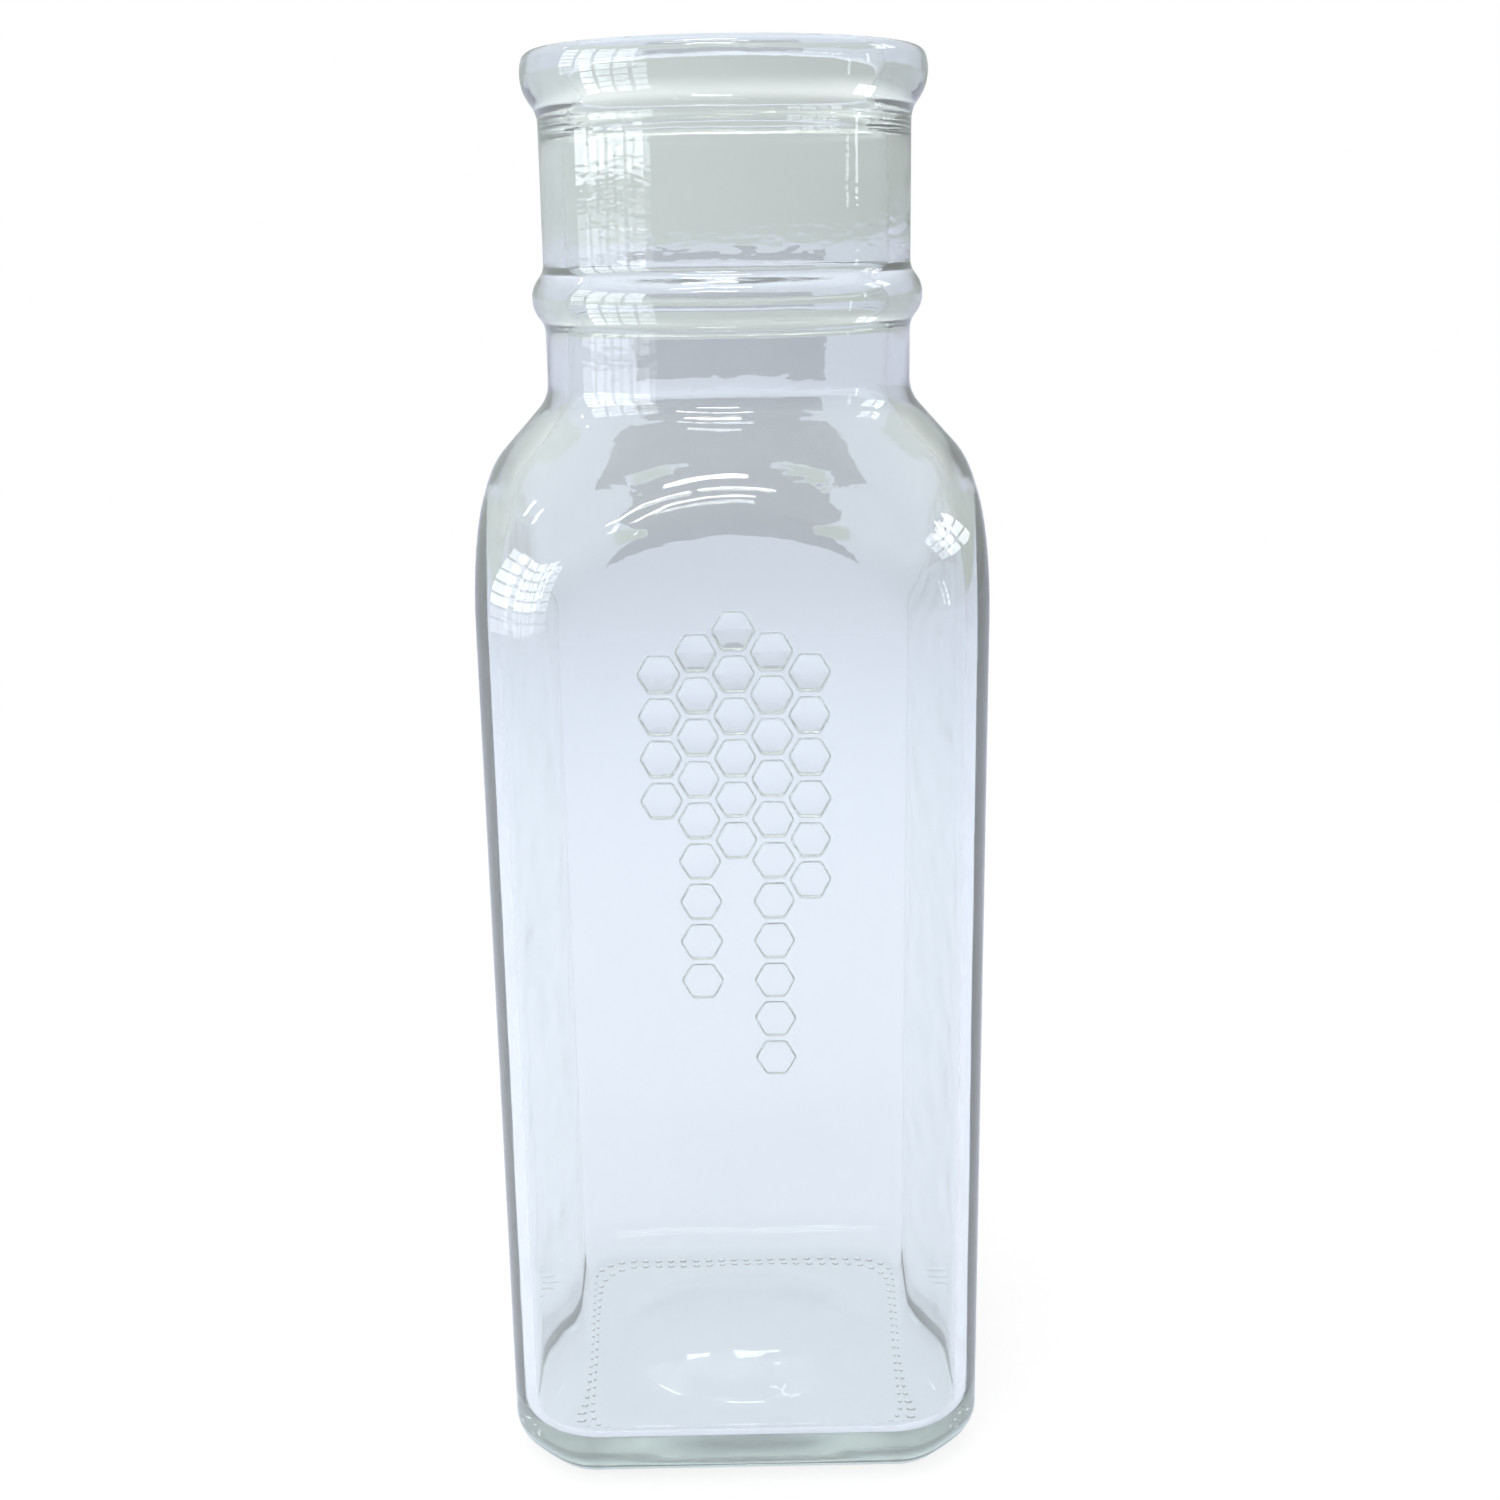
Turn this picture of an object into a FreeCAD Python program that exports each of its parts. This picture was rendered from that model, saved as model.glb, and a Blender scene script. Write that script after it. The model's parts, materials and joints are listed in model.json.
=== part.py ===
import FreeCAD
import Part
import math
import os
from types import SimpleNamespace

# Square pressed-and-blown glass jar, one piece of glass, all sizes in millimetres.
# The origin is the centre of the base, +Z is up, and the panel that carries the relief faces +Y.

# Body: a round flask flattened on four sides
TOTAL_HEIGHT = 165.4
BODY_WIDTH = 57.0           # across opposite flats
CORNER_CUT = 4.9            # from the square's sharp corner in to the rounded one, along the diagonal
EDGE_ROUND = 8.0            # long edges and arched tops of the flats
HEEL_ROUND = 6.0            # sides to base

# Shoulder: a cone with a dome below it and a hollow curve above it
SHOULDER_ANGLE = 42.5       # cone to the vertical, in degrees
SHOULDER_ROUND = 20.0       # dome between the cone and the corners of the body
NECK_ROOT_ROUND = 4.5       # hollow between the cone and the neck

# Neck, with a bead round its lower part and a rolled lip at its top
NECK_DIAMETER = 42.0
NECK_BELOW_BEAD = 11.1      # shoulder line up to the crown of the bead
NECK_ABOVE_BEAD = 26.5      # crown of the bead up to the top of the lip
BEAD_PROJECTION = 1.4
BEAD_CROWN_ROUND = 3.5
BEAD_ROOT_ROUND = 2.5
LIP_PROJECTION = 1.8
LIP_DROP = 2.4              # top of the lip down to its crown
LIP_CROWN_ROUND = 5.2
LIP_ROOT_ROUND = 3.2
LIP_EDGE_ROUND = 1.4

# Mouth: the straight seat for a cork, then a soft step out to the inside of the neck
BORE_LENGTH = 6.0
BORE_STEP = 0.5             # bore in from the inside of the neck
STEP_ROUND = 3.0
MOUTH_ROUND = 1.5

# Glass
NECK_WALL = 2.5
BODY_WALL = 2.8
BASE_THICKNESS = 5.5
INSIDE_HEEL_ROUND = 2.5
FLOOR_CROWN = 0.6           # rise of the inside floor at its middle
FLOOR_CROWN_DIAMETER = 34.0

# Push-up under the base: a shallow round dish, which leaves a bearing band round it to stand on
PUSH_UP_DIAMETER = 34.0
PUSH_UP_DEPTH = 0.9
DISH_RIM_ROUND = 25.0       # soft rim of the dish, and of the inside floor's crown

# Raised comb on the back panel: six-sided cells in upright columns that end at different heights
CELL_WIDTH = 5.2            # across opposite sides, at the panel
CELL_GAP = 0.7              # panel between neighbouring cells
CELL_HEIGHT = 0.45
CELL_DRAFT = 30.0           # lean of a cell's sides, in degrees
CELL_SINK = 0.5             # how far a cell's body runs into the panel that carries it
COMB_TOP = 97.0             # top of the middle column above the base
COLUMN_CELLS = (4, 9, 6, 11, 6)

ROOM_SHARE = 0.95           # most of the room at a corner or an arch that a rounding may take up
CUT_PAST = 5.0              # how far a cutting solid runs past what it cuts
TOUCHING = 0.001            # closer than this is the same place

ORIGIN = FreeCAD.Vector(0, 0, 0)
UP = FreeCAD.Vector(0, 0, 1)


def sin(degrees):
    return math.sin(math.radians(degrees))


def cos(degrees):
    return math.cos(math.radians(degrees))


def point(radius, height):
    return [FreeCAD.Vector(radius, 0, height)]


def arc(radius, height, bend, start, end):
    """Arc in a profile, about a centre at that radius and height, between two angles from level."""
    angles = (start, (start + end) / 2, end)
    return [FreeCAD.Vector(radius + bend * cos(a), 0, height + bend * sin(a)) for a in angles]


def revolved(stations):
    """Solid turned from a profile of points and arcs, which straight lines join in their order."""
    edges = []
    for here, following in zip(stations, stations[1:] + stations[:1]):
        if len(here) == 3:
            edges.append(Part.Arc(*here).toShape())
        if here[-1].distanceToPoint(following[0]) > TOUCHING:
            edges.append(Part.LineSegment(here[-1], following[0]).toShape())
    solid = Part.Face(Part.Wire(edges)).revolve(ORIGIN, UP, 360)
    solid.rotate(ORIGIN, UP, 45)
    return solid


def swell(wall, projection, height, crown, root):
    """Rounded ring that stands out of a round wall: the curve into it, its crown, the curve out."""
    turn = math.degrees(math.acos(1 - projection / (crown + root)))
    reach = (crown + root) * sin(turn)
    return [
        arc(wall + root, height - reach, root, 180, 180 - turn),
        arc(wall + projection - crown, height, crown, -turn, turn),
        arc(wall + root, height + reach, root, 180 + turn, 180),
    ]


def shoulder(skin):
    """Dome and hollow of a shoulder whose cone meets the neck at the shoulder line."""
    slope = SHOULDER_ANGLE
    spring = skin.line - (skin.dome + (skin.corner - skin.dome - skin.neck) * cos(slope)) / sin(slope)
    hollow = skin.line + skin.root * (1 - cos(slope)) / sin(slope)
    return [
        arc(skin.corner - skin.dome, spring, skin.dome, 0, slope),
        arc(skin.neck + skin.root, hollow, skin.root, 180 + slope, 180),
    ]


def squared(flask, skin):
    """Flatten a turned flask on four sides, then round the flats' edges and the heel."""
    for side in range(4):
        corner = FreeCAD.Vector(skin.flat, -2 * skin.corner, 0)
        slab = Part.makeBox(skin.corner, 4 * skin.corner, skin.line, corner)
        slab.rotate(ORIGIN, UP, 90 * side)
        flask = flask.cut(slab)
    flask = flask.removeSplitter().Solids[0]
    crest = skin.neck + skin.root * (1 - cos(SHOULDER_ANGLE))
    arch_room = (skin.flat - crest) / math.tan(math.radians(SHOULDER_ANGLE)) / (1 - sin(SHOULDER_ANGLE))
    corner_room = (math.sqrt(2) * skin.flat - skin.corner) / (math.sqrt(2) - 1)
    edge_round = min(EDGE_ROUND, ROOM_SHARE * arch_room, ROOM_SHARE * corner_room)
    flats = [f for f in flask.Faces if isinstance(f.Surface, Part.Plane) and abs(f.Surface.Axis.z) < TOUCHING]
    edges = [e for f in flats for e in f.Edges if e.BoundBox.ZMax > skin.base + TOUCHING]
    flask = flask.makeFillet(edge_round, edges)
    rim = skin.dish[-1][-1].x
    edges = [
        e for e in flask.Edges
        if e.BoundBox.ZMax < skin.base + TOUCHING and math.hypot(*e.Vertexes[0].Point[:2]) > rim + TOUCHING
    ]
    heel_room = min(edge_round, skin.flat - rim)
    return flask.makeFillet(min(skin.heel, ROOM_SHARE * heel_room), edges)


def dish(level, rise, span):
    """Shallow dome in the middle of a level, with a soft rim, from the axis out."""
    bend = (span ** 2 / 4 + rise ** 2) / (2 * rise)
    reach = bend + DISH_RIM_ROUND
    rim = math.sqrt(rise * (2 * reach - rise))
    turn = math.degrees(math.asin(rim / reach))
    return [
        arc(0, level + rise - bend, bend, 90, 90 - turn),
        arc(rim, level + DISH_RIM_ROUND, DISH_RIM_ROUND, 270 - turn, 270),
    ]


# The two skins of the glass, which the same steps shape
outer = SimpleNamespace(
    flat=BODY_WIDTH / 2,
    corner=BODY_WIDTH / math.sqrt(2) - CORNER_CUT,
    dome=SHOULDER_ROUND,
    neck=NECK_DIAMETER / 2,
    root=NECK_ROOT_ROUND,
    line=TOTAL_HEIGHT - NECK_ABOVE_BEAD - NECK_BELOW_BEAD,
    base=0,
    dish=dish(0, PUSH_UP_DEPTH, PUSH_UP_DIAMETER),
    heel=HEEL_ROUND,
)
inner = SimpleNamespace(
    flat=outer.flat - BODY_WALL,
    corner=outer.corner - BODY_WALL,
    dome=outer.dome - BODY_WALL,
    neck=outer.neck - NECK_WALL,
    root=outer.root + BODY_WALL,
    line=outer.line + (NECK_WALL * cos(SHOULDER_ANGLE) - BODY_WALL) / sin(SHOULDER_ANGLE),
    base=BASE_THICKNESS,
    dish=dish(BASE_THICKNESS, FLOOR_CROWN, FLOOR_CROWN_DIAMETER),
    heel=INSIDE_HEEL_ROUND,
)
bore_radius = inner.neck - BORE_STEP


def outside():
    """The jar as if it were solid glass."""
    bead_height = TOTAL_HEIGHT - NECK_ABOVE_BEAD
    bead = swell(outer.neck, BEAD_PROJECTION, bead_height, BEAD_CROWN_ROUND, BEAD_ROOT_ROUND)
    lip_height = TOTAL_HEIGHT - LIP_DROP
    lip_root = swell(outer.neck, LIP_PROJECTION, lip_height, LIP_CROWN_ROUND, LIP_ROOT_ROUND)[0]
    crown_axis = outer.neck + LIP_PROJECTION - LIP_CROWN_ROUND
    crown_start = math.degrees(math.asin((lip_root[-1].z - lip_height) / LIP_CROWN_ROUND))
    edge_height = TOTAL_HEIGHT - LIP_EDGE_ROUND
    edge_reach = LIP_CROWN_ROUND - LIP_EDGE_ROUND
    crown_end = math.degrees(math.asin((edge_height - lip_height) / edge_reach))
    stations = outer.dish + [point(outer.corner, 0)] + shoulder(outer) + bead + [
        lip_root,
        arc(crown_axis, lip_height, LIP_CROWN_ROUND, crown_start, crown_end),
        arc(crown_axis + edge_reach * cos(crown_end), edge_height, LIP_EDGE_ROUND, crown_end, 90),
        point(0, TOTAL_HEIGHT),
    ]
    return squared(revolved(stations), outer)


def inside():
    """The space that the jar holds, run out through the mouth."""
    turn = math.degrees(math.acos(1 - BORE_STEP / (2 * STEP_ROUND)))
    step_top = TOTAL_HEIGHT - MOUTH_ROUND - BORE_LENGTH
    step_bottom = step_top - 2 * STEP_ROUND * sin(turn)
    stations = inner.dish + [point(inner.corner, inner.base)] + shoulder(inner) + [
        arc(inner.neck - STEP_ROUND, step_bottom, STEP_ROUND, 0, turn),
        arc(bore_radius + STEP_ROUND, step_top, STEP_ROUND, 180 + turn, 180),
        point(bore_radius, TOTAL_HEIGHT + CUT_PAST),
        point(0, TOTAL_HEIGHT + CUT_PAST),
    ]
    return squared(revolved(stations), inner)


def cell(across, height):
    """One raised cell of the comb, with its middle that far across and up the back panel."""
    rings = []
    for out in (-CELL_SINK, CELL_HEIGHT):
        reach = (CELL_WIDTH / 2 - out * math.tan(math.radians(CELL_DRAFT))) / cos(30)
        corners = [
            FreeCAD.Vector(across + reach * cos(turn), outer.flat + out, height + reach * sin(turn))
            for turn in range(0, 361, 60)
        ]
        rings.append(Part.makePolygon(corners))
    return Part.makeLoft(rings, True, True)


def comb():
    """All the cells, each column half a cell lower than its neighbour nearer the middle."""
    pitch = CELL_WIDTH + CELL_GAP
    middle = (len(COLUMN_CELLS) - 1) / 2
    cells = []
    for column, count in enumerate(COLUMN_CELLS):
        top = COMB_TOP - CELL_WIDTH / 2 - abs(column - middle) * pitch / 2
        cells += [cell((column - middle) * pitch * cos(30), top - row * pitch) for row in range(count)]
    return cells


def jar():
    """The finished glass, with the mouth rounded and the comb raised."""
    glass = outside().cut(inside()).Solids[0]
    mouth = [
        e for e in glass.Edges
        if e.BoundBox.ZMin > TOTAL_HEIGHT - TOUCHING and e.BoundBox.XMax < bore_radius + TOUCHING
    ]
    return glass.makeFillet(MOUTH_ROUND, mouth).fuse(comb()).Solids[0]


os.makedirs("parts", exist_ok=True)
bottle = jar()
bottle.exportStep("parts/bottle.step")
brimful = outside().common(inside())
print("glass", round(bottle.Volume / 1000, 1), "ml, brimful", round(brimful.Volume / 1000, 1), "ml")
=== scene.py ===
import json
import math
from types import SimpleNamespace

import bpy
import numpy as np
from mathutils import Matrix, Vector


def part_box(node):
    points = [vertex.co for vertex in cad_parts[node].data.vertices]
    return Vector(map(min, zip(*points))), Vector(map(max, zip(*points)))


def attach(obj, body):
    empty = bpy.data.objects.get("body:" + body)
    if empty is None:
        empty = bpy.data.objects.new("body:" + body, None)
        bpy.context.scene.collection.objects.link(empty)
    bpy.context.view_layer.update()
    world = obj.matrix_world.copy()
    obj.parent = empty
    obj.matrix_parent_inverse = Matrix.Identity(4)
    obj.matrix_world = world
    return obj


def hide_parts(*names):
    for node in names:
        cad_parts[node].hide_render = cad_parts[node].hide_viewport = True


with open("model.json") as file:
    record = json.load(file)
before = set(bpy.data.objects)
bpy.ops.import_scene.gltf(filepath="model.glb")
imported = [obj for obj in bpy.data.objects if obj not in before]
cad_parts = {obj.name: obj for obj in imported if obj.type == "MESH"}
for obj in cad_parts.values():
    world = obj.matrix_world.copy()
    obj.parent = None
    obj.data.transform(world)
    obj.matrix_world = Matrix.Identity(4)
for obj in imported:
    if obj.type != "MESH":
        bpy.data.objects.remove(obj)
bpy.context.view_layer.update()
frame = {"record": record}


# Clear glass
# Soda-lime glass with a trace of iron: almost colourless through one wall, grey-green along an edge.
# It is fire-polished, so it is glossy, with faint smudges and the slow waves of glass that met a mould,
# and only the underside is a little dull.
MM = 0.001
GLASS_BEND = 1.51
GLASS_CLEAR = (0.985, 0.995, 0.99, 1.0)
GLASS_CLOUDED = (0.965, 0.985, 0.975, 1.0)
GLASS_DEPTH_COLOUR = (0.50, 0.80, 0.68, 1.0)
GLASS_DEPTH_DENSITY = 9.0
GLASS_SEE_THROUGH = 0.92
CLOUD_SIZE = 18 * MM
CLOUD_DETAIL = 2.0
SMUDGE_SIZE = 7 * MM
SMUDGE_DETAIL = 4.0
SMUDGE_FROM = 0.55
SMUDGE_BY = 0.75
SMOOTHEST = 0.0
DULLEST = 0.05
BASE_DULLNESS = 0.2
BASE_DULL_FROM = 2.6 * MM
BASE_DULL_BY = 1.4 * MM
WAVE_SIZE = 9 * MM
WAVE_HEIGHT = 0.05 * MM
WAVE_DETAIL = 1.0
CHATTER_SIZE = 2.4 * MM
CHATTER_DETAIL = 1.0
CHATTER_HEIGHT = 0.012 * MM
CHATTER_FLATTENED = (1, 1, 2.5)
CHATTER_FROM = 105 * MM
CHATTER_BY = 130 * MM


def plug(tree, socket, value):
    """Give a socket a value: a constant, a socket to link from, or a field."""
    if isinstance(value, Field):
        value = value.socket
    if isinstance(value, bpy.types.NodeSocket):
        tree.links.new(value, socket)
    else:
        socket.default_value = value


def add_node(tree, kind, inputs=None, **settings):
    """New node with its settings made and its inputs, by name or number, filled."""
    made = tree.nodes.new(kind)
    for name, value in settings.items():
        setattr(made, name, value)
    for name, value in (inputs or {}).items():
        plug(tree, made.inputs[name], value)
    return made


class Field:
    """A number inside a node tree, so that sums of such numbers can be written out like any others."""

    def __init__(self, tree, socket):
        self.tree = tree
        self.socket = socket

    def math(self, operation, *others):
        inputs = dict(enumerate((self, *others)))
        made = add_node(self.tree, "ShaderNodeMath", inputs, operation=operation)
        return Field(self.tree, made.outputs[0])

    def __add__(self, other):
        return self.math("ADD", other)

    def __sub__(self, other):
        return self.math("SUBTRACT", other)

    def __mul__(self, other):
        return self.math("MULTIPLY", other)

    def __truediv__(self, other):
        return self.math("DIVIDE", other)

    def left_over(self):
        """What a share leaves of one."""
        return self * -1 + 1


def ramp(tree, value, start, end, first=0.0, last=1.0, run="SMOOTHSTEP"):
    """Number that goes from first to last while a value goes from start to end, and holds beyond them."""
    made = add_node(tree, "ShaderNodeMapRange", {
        "Value": value, "From Min": start, "From Max": end, "To Min": first, "To Max": last,
    }, interpolation_type=run)
    return Field(tree, made.outputs["Result"])


def colour_mix(tree, share, first, second):
    """Colour between two, each a constant or a socket, by a share."""
    made = add_node(tree, "ShaderNodeMix", {"Factor": share}, data_type="RGBA")
    plug(tree, made.inputs[6], first)
    plug(tree, made.inputs[7], second)
    return made.outputs[2]


def grain(tree, place, size, detail):
    """Soft random share with lumps of about a size."""
    made = add_node(tree, "ShaderNodeTexNoise", {"Vector": place, "Scale": 1 / size, "Detail": detail})
    return Field(tree, made.outputs["Fac"])


def glass_finish():
    """Clear glass that tints with depth, with faint smudges and slow waves on its skin."""
    material = bpy.data.materials.new("clear_glass")
    material.use_nodes = True
    tree = material.node_tree
    tree.nodes.clear()
    place = add_node(tree, "ShaderNodeTexCoord").outputs["Object"]
    height = add_node(tree, "ShaderNodeSeparateXYZ", {"Vector": place}).outputs["Z"]
    tint = colour_mix(tree, grain(tree, place, CLOUD_SIZE, CLOUD_DETAIL), GLASS_CLEAR, GLASS_CLOUDED)
    smudges = grain(tree, place, SMUDGE_SIZE, SMUDGE_DETAIL)
    smudged = ramp(tree, smudges, SMUDGE_FROM, SMUDGE_BY, SMOOTHEST, DULLEST, run="LINEAR")
    underneath = ramp(tree, height, BASE_DULL_BY, BASE_DULL_FROM, BASE_DULLNESS, 0.0, run="LINEAR")
    wavy = add_node(tree, "ShaderNodeBump", {
        "Height": grain(tree, place, WAVE_SIZE, WAVE_DETAIL), "Distance": WAVE_HEIGHT, "Strength": 1.0})
    level = add_node(tree, "ShaderNodeVectorMath", {0: place, 1: CHATTER_FLATTENED}, operation="MULTIPLY")
    skin = add_node(tree, "ShaderNodeBump", {
        "Height": grain(tree, level.outputs[0], CHATTER_SIZE, CHATTER_DETAIL), "Distance": CHATTER_HEIGHT,
        "Strength": ramp(tree, height, CHATTER_FROM, CHATTER_BY), "Normal": wavy.outputs["Normal"]})
    glass = add_node(tree, "ShaderNodeBsdfPrincipled", {
        "Base Color": tint, "Roughness": smudged.math("MAXIMUM", underneath), "IOR": GLASS_BEND,
        "Transmission Weight": GLASS_SEE_THROUGH, "Normal": skin.outputs["Normal"]})
    depth = add_node(tree, "ShaderNodeVolumeAbsorption", {
        "Color": GLASS_DEPTH_COLOUR, "Density": GLASS_DEPTH_DENSITY})
    add_node(tree, "ShaderNodeOutputMaterial", {
        "Surface": glass.outputs["BSDF"], "Volume": depth.outputs["Volume"]})
    return material


clear_glass = glass_finish()


# Wall of the jar
# One gather of glass, pressed and blown in a square mould. Its section is a list of rings, from the middle
# of the base up the outside, over the rolled lip and down the inside, and a node tree turns them round the
# axis and flattens each on its sides.
body_low, body_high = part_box("bottle")
mounts = {mount["name"]: mount for mount in frame["record"]["mounts"]}
TOTAL_HEIGHT = body_high.z
HALF_WIDTH = body_high.x
NECK_RADIUS = mounts["neck_band"]["dims"]["r_mm"] * MM
BORE_RADIUS = mounts["mouth"]["dims"]["r_mm"] * MM
BORE_LENGTH = mounts["mouth"]["dims"]["length_mm"] * MM
CORNER_CUT = 4.9 * MM
EDGE_ROUND = 8 * MM
HEEL_ROUND = 6 * MM
SHOULDER_ANGLE = 42.5
SHOULDER_ROUND = 20 * MM
NECK_ROOT_ROUND = 4.5 * MM
NECK_BELOW_BEAD = 11.1 * MM
NECK_ABOVE_BEAD = 26.5 * MM
BEAD_PROJECTION = 1.4 * MM
BEAD_CROWN_ROUND = 3.5 * MM
BEAD_ROOT_ROUND = 2.5 * MM
LIP_PROJECTION = 1.8 * MM
LIP_DROP = 2.4 * MM
LIP_CROWN_ROUND = 5.2 * MM
LIP_ROOT_ROUND = 3.2 * MM
LIP_EDGE_ROUND = 1.4 * MM
STEP_ROUND = 3 * MM
MOUTH_ROUND = 1.5 * MM
NECK_WALL = 2.5 * MM
BODY_WALL = 2.8 * MM
BASE_THICKNESS = 5.5 * MM
INSIDE_HEEL_ROUND = 2.5 * MM
FLOOR_CROWN = 0.6 * MM
FLOOR_CROWN_RADIUS = 17 * MM
PUSH_UP_RADIUS = 17 * MM
PUSH_UP_DEPTH = 0.9 * MM
DISH_RIM_ROUND = 25 * MM
STIPPLE_HEIGHT = 0.25 * MM
WALL_STEP = 2.4 * MM
SHOULDER_STEP = 1.1 * MM
ARC_STEP = 6
ARC_FEWEST = 3
WALL_SIDES = 4.0
WALL_COLUMNS = 240
WELD = 0.001 * MM
FAR = 1.0
RING_FIELDS = ("corner", "height", "flat", "bend", "lean", "ripple")


def sin(degrees):
    return math.sin(math.radians(degrees))


def cos(degrees):
    return math.cos(math.radians(degrees))


def ring(corner, height, flat=FAR, bend=0.0, lean=1.0, ripple=0.0):
    """One level outline: a circle of the corners' radius, cut by flats whose edges are rounded by bend.

    Lean is how far the surface faces level, and ripple is its share of the inside's unevenness."""
    return np.array([corner, height, flat, bend, lean, ripple])


def arc(corner, height, radius, start, end, **rest):
    """Rings along an arc of the section about a centre, between two angles from level in degrees."""
    turn = abs(end - start)
    steps = max(ARC_FEWEST, round(turn / ARC_STEP), round(radius * math.radians(turn) / WALL_STEP))
    return [
        ring(corner + radius * cos(angle), height + radius * sin(angle), lean=abs(cos(angle)), **rest)
        for angle in np.linspace(start, end, steps + 1)
    ]


def filled(rings, step):
    """The same rings with more of them wherever two neighbours are further apart than a step."""
    whole = [rings[0]]
    for here, following in zip(rings, rings[1:]):
        apart = following - here
        count = max(1, math.ceil(math.hypot(apart[0], apart[1]) / step))
        whole += [here + apart * share for share in np.arange(1, count + 1) / count]
    return whole


def swell(wall, projection, height, crown, root):
    """Rings of a rounded bead on a round wall: the curve into it, its crown and the curve out of it."""
    turn = math.degrees(math.acos(1 - projection / (crown + root)))
    reach = (crown + root) * sin(turn)
    into = arc(wall + root, height - reach, root, 180, 180 - turn)
    over = arc(wall + projection - crown, height, crown, -turn, turn)
    out = arc(wall + root, height + reach, root, 180 + turn, 180)
    return into, over, out


def shoulder_rings(skin):
    """Rings of one skin of the body from the heel up its walls and its shoulder to the neck."""
    slope = SHOULDER_ANGLE
    side = dict(flat=skin.flat, bend=EDGE_ROUND, ripple=skin.ripple)
    heel = []
    for angle in range(90, -1, -ARC_STEP):
        inset = skin.heel * (1 - cos(angle))
        height = skin.base + (skin.heel_top - skin.base) * (1 - sin(angle))
        bend = EDGE_ROUND - inset
        heel.append(ring(skin.corner - inset, height, skin.flat - inset, bend, ripple=skin.ripple))
    spring = skin.line - (skin.dome + (skin.corner - skin.dome - skin.neck) * cos(slope)) / sin(slope)
    hollow = skin.line + skin.root * (1 - cos(slope)) / sin(slope)
    dome = arc(skin.corner - skin.dome, spring, skin.dome, 0, slope, **side)
    root = arc(skin.neck + skin.root, hollow, skin.root, 180 + slope, 180, ripple=skin.ripple)
    cone_top = ring(root[0][0], root[0][1], lean=cos(slope), **side)
    return heel + filled([heel[-1], dome[0]], WALL_STEP) + filled(dome + [cone_top], SHOULDER_STEP) + root


def dish_rings(level, rise, radius, ripple=0.0):
    """Rings of a shallow round dome that rises over a level, with a soft rim, from its middle out."""
    bend = (radius ** 2 + rise ** 2) / (2 * rise)
    reach = bend + DISH_RIM_ROUND
    rim = math.sqrt(rise * (2 * reach - rise))
    turn = math.degrees(math.asin(rim / reach))
    dome = arc(0.0, level + rise - bend, bend, 90, 90 - turn, ripple=ripple)
    foot = arc(rim, level + DISH_RIM_ROUND, DISH_RIM_ROUND, -90 - turn, -90, ripple=ripple)
    return filled(dome + foot, WALL_STEP)


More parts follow.
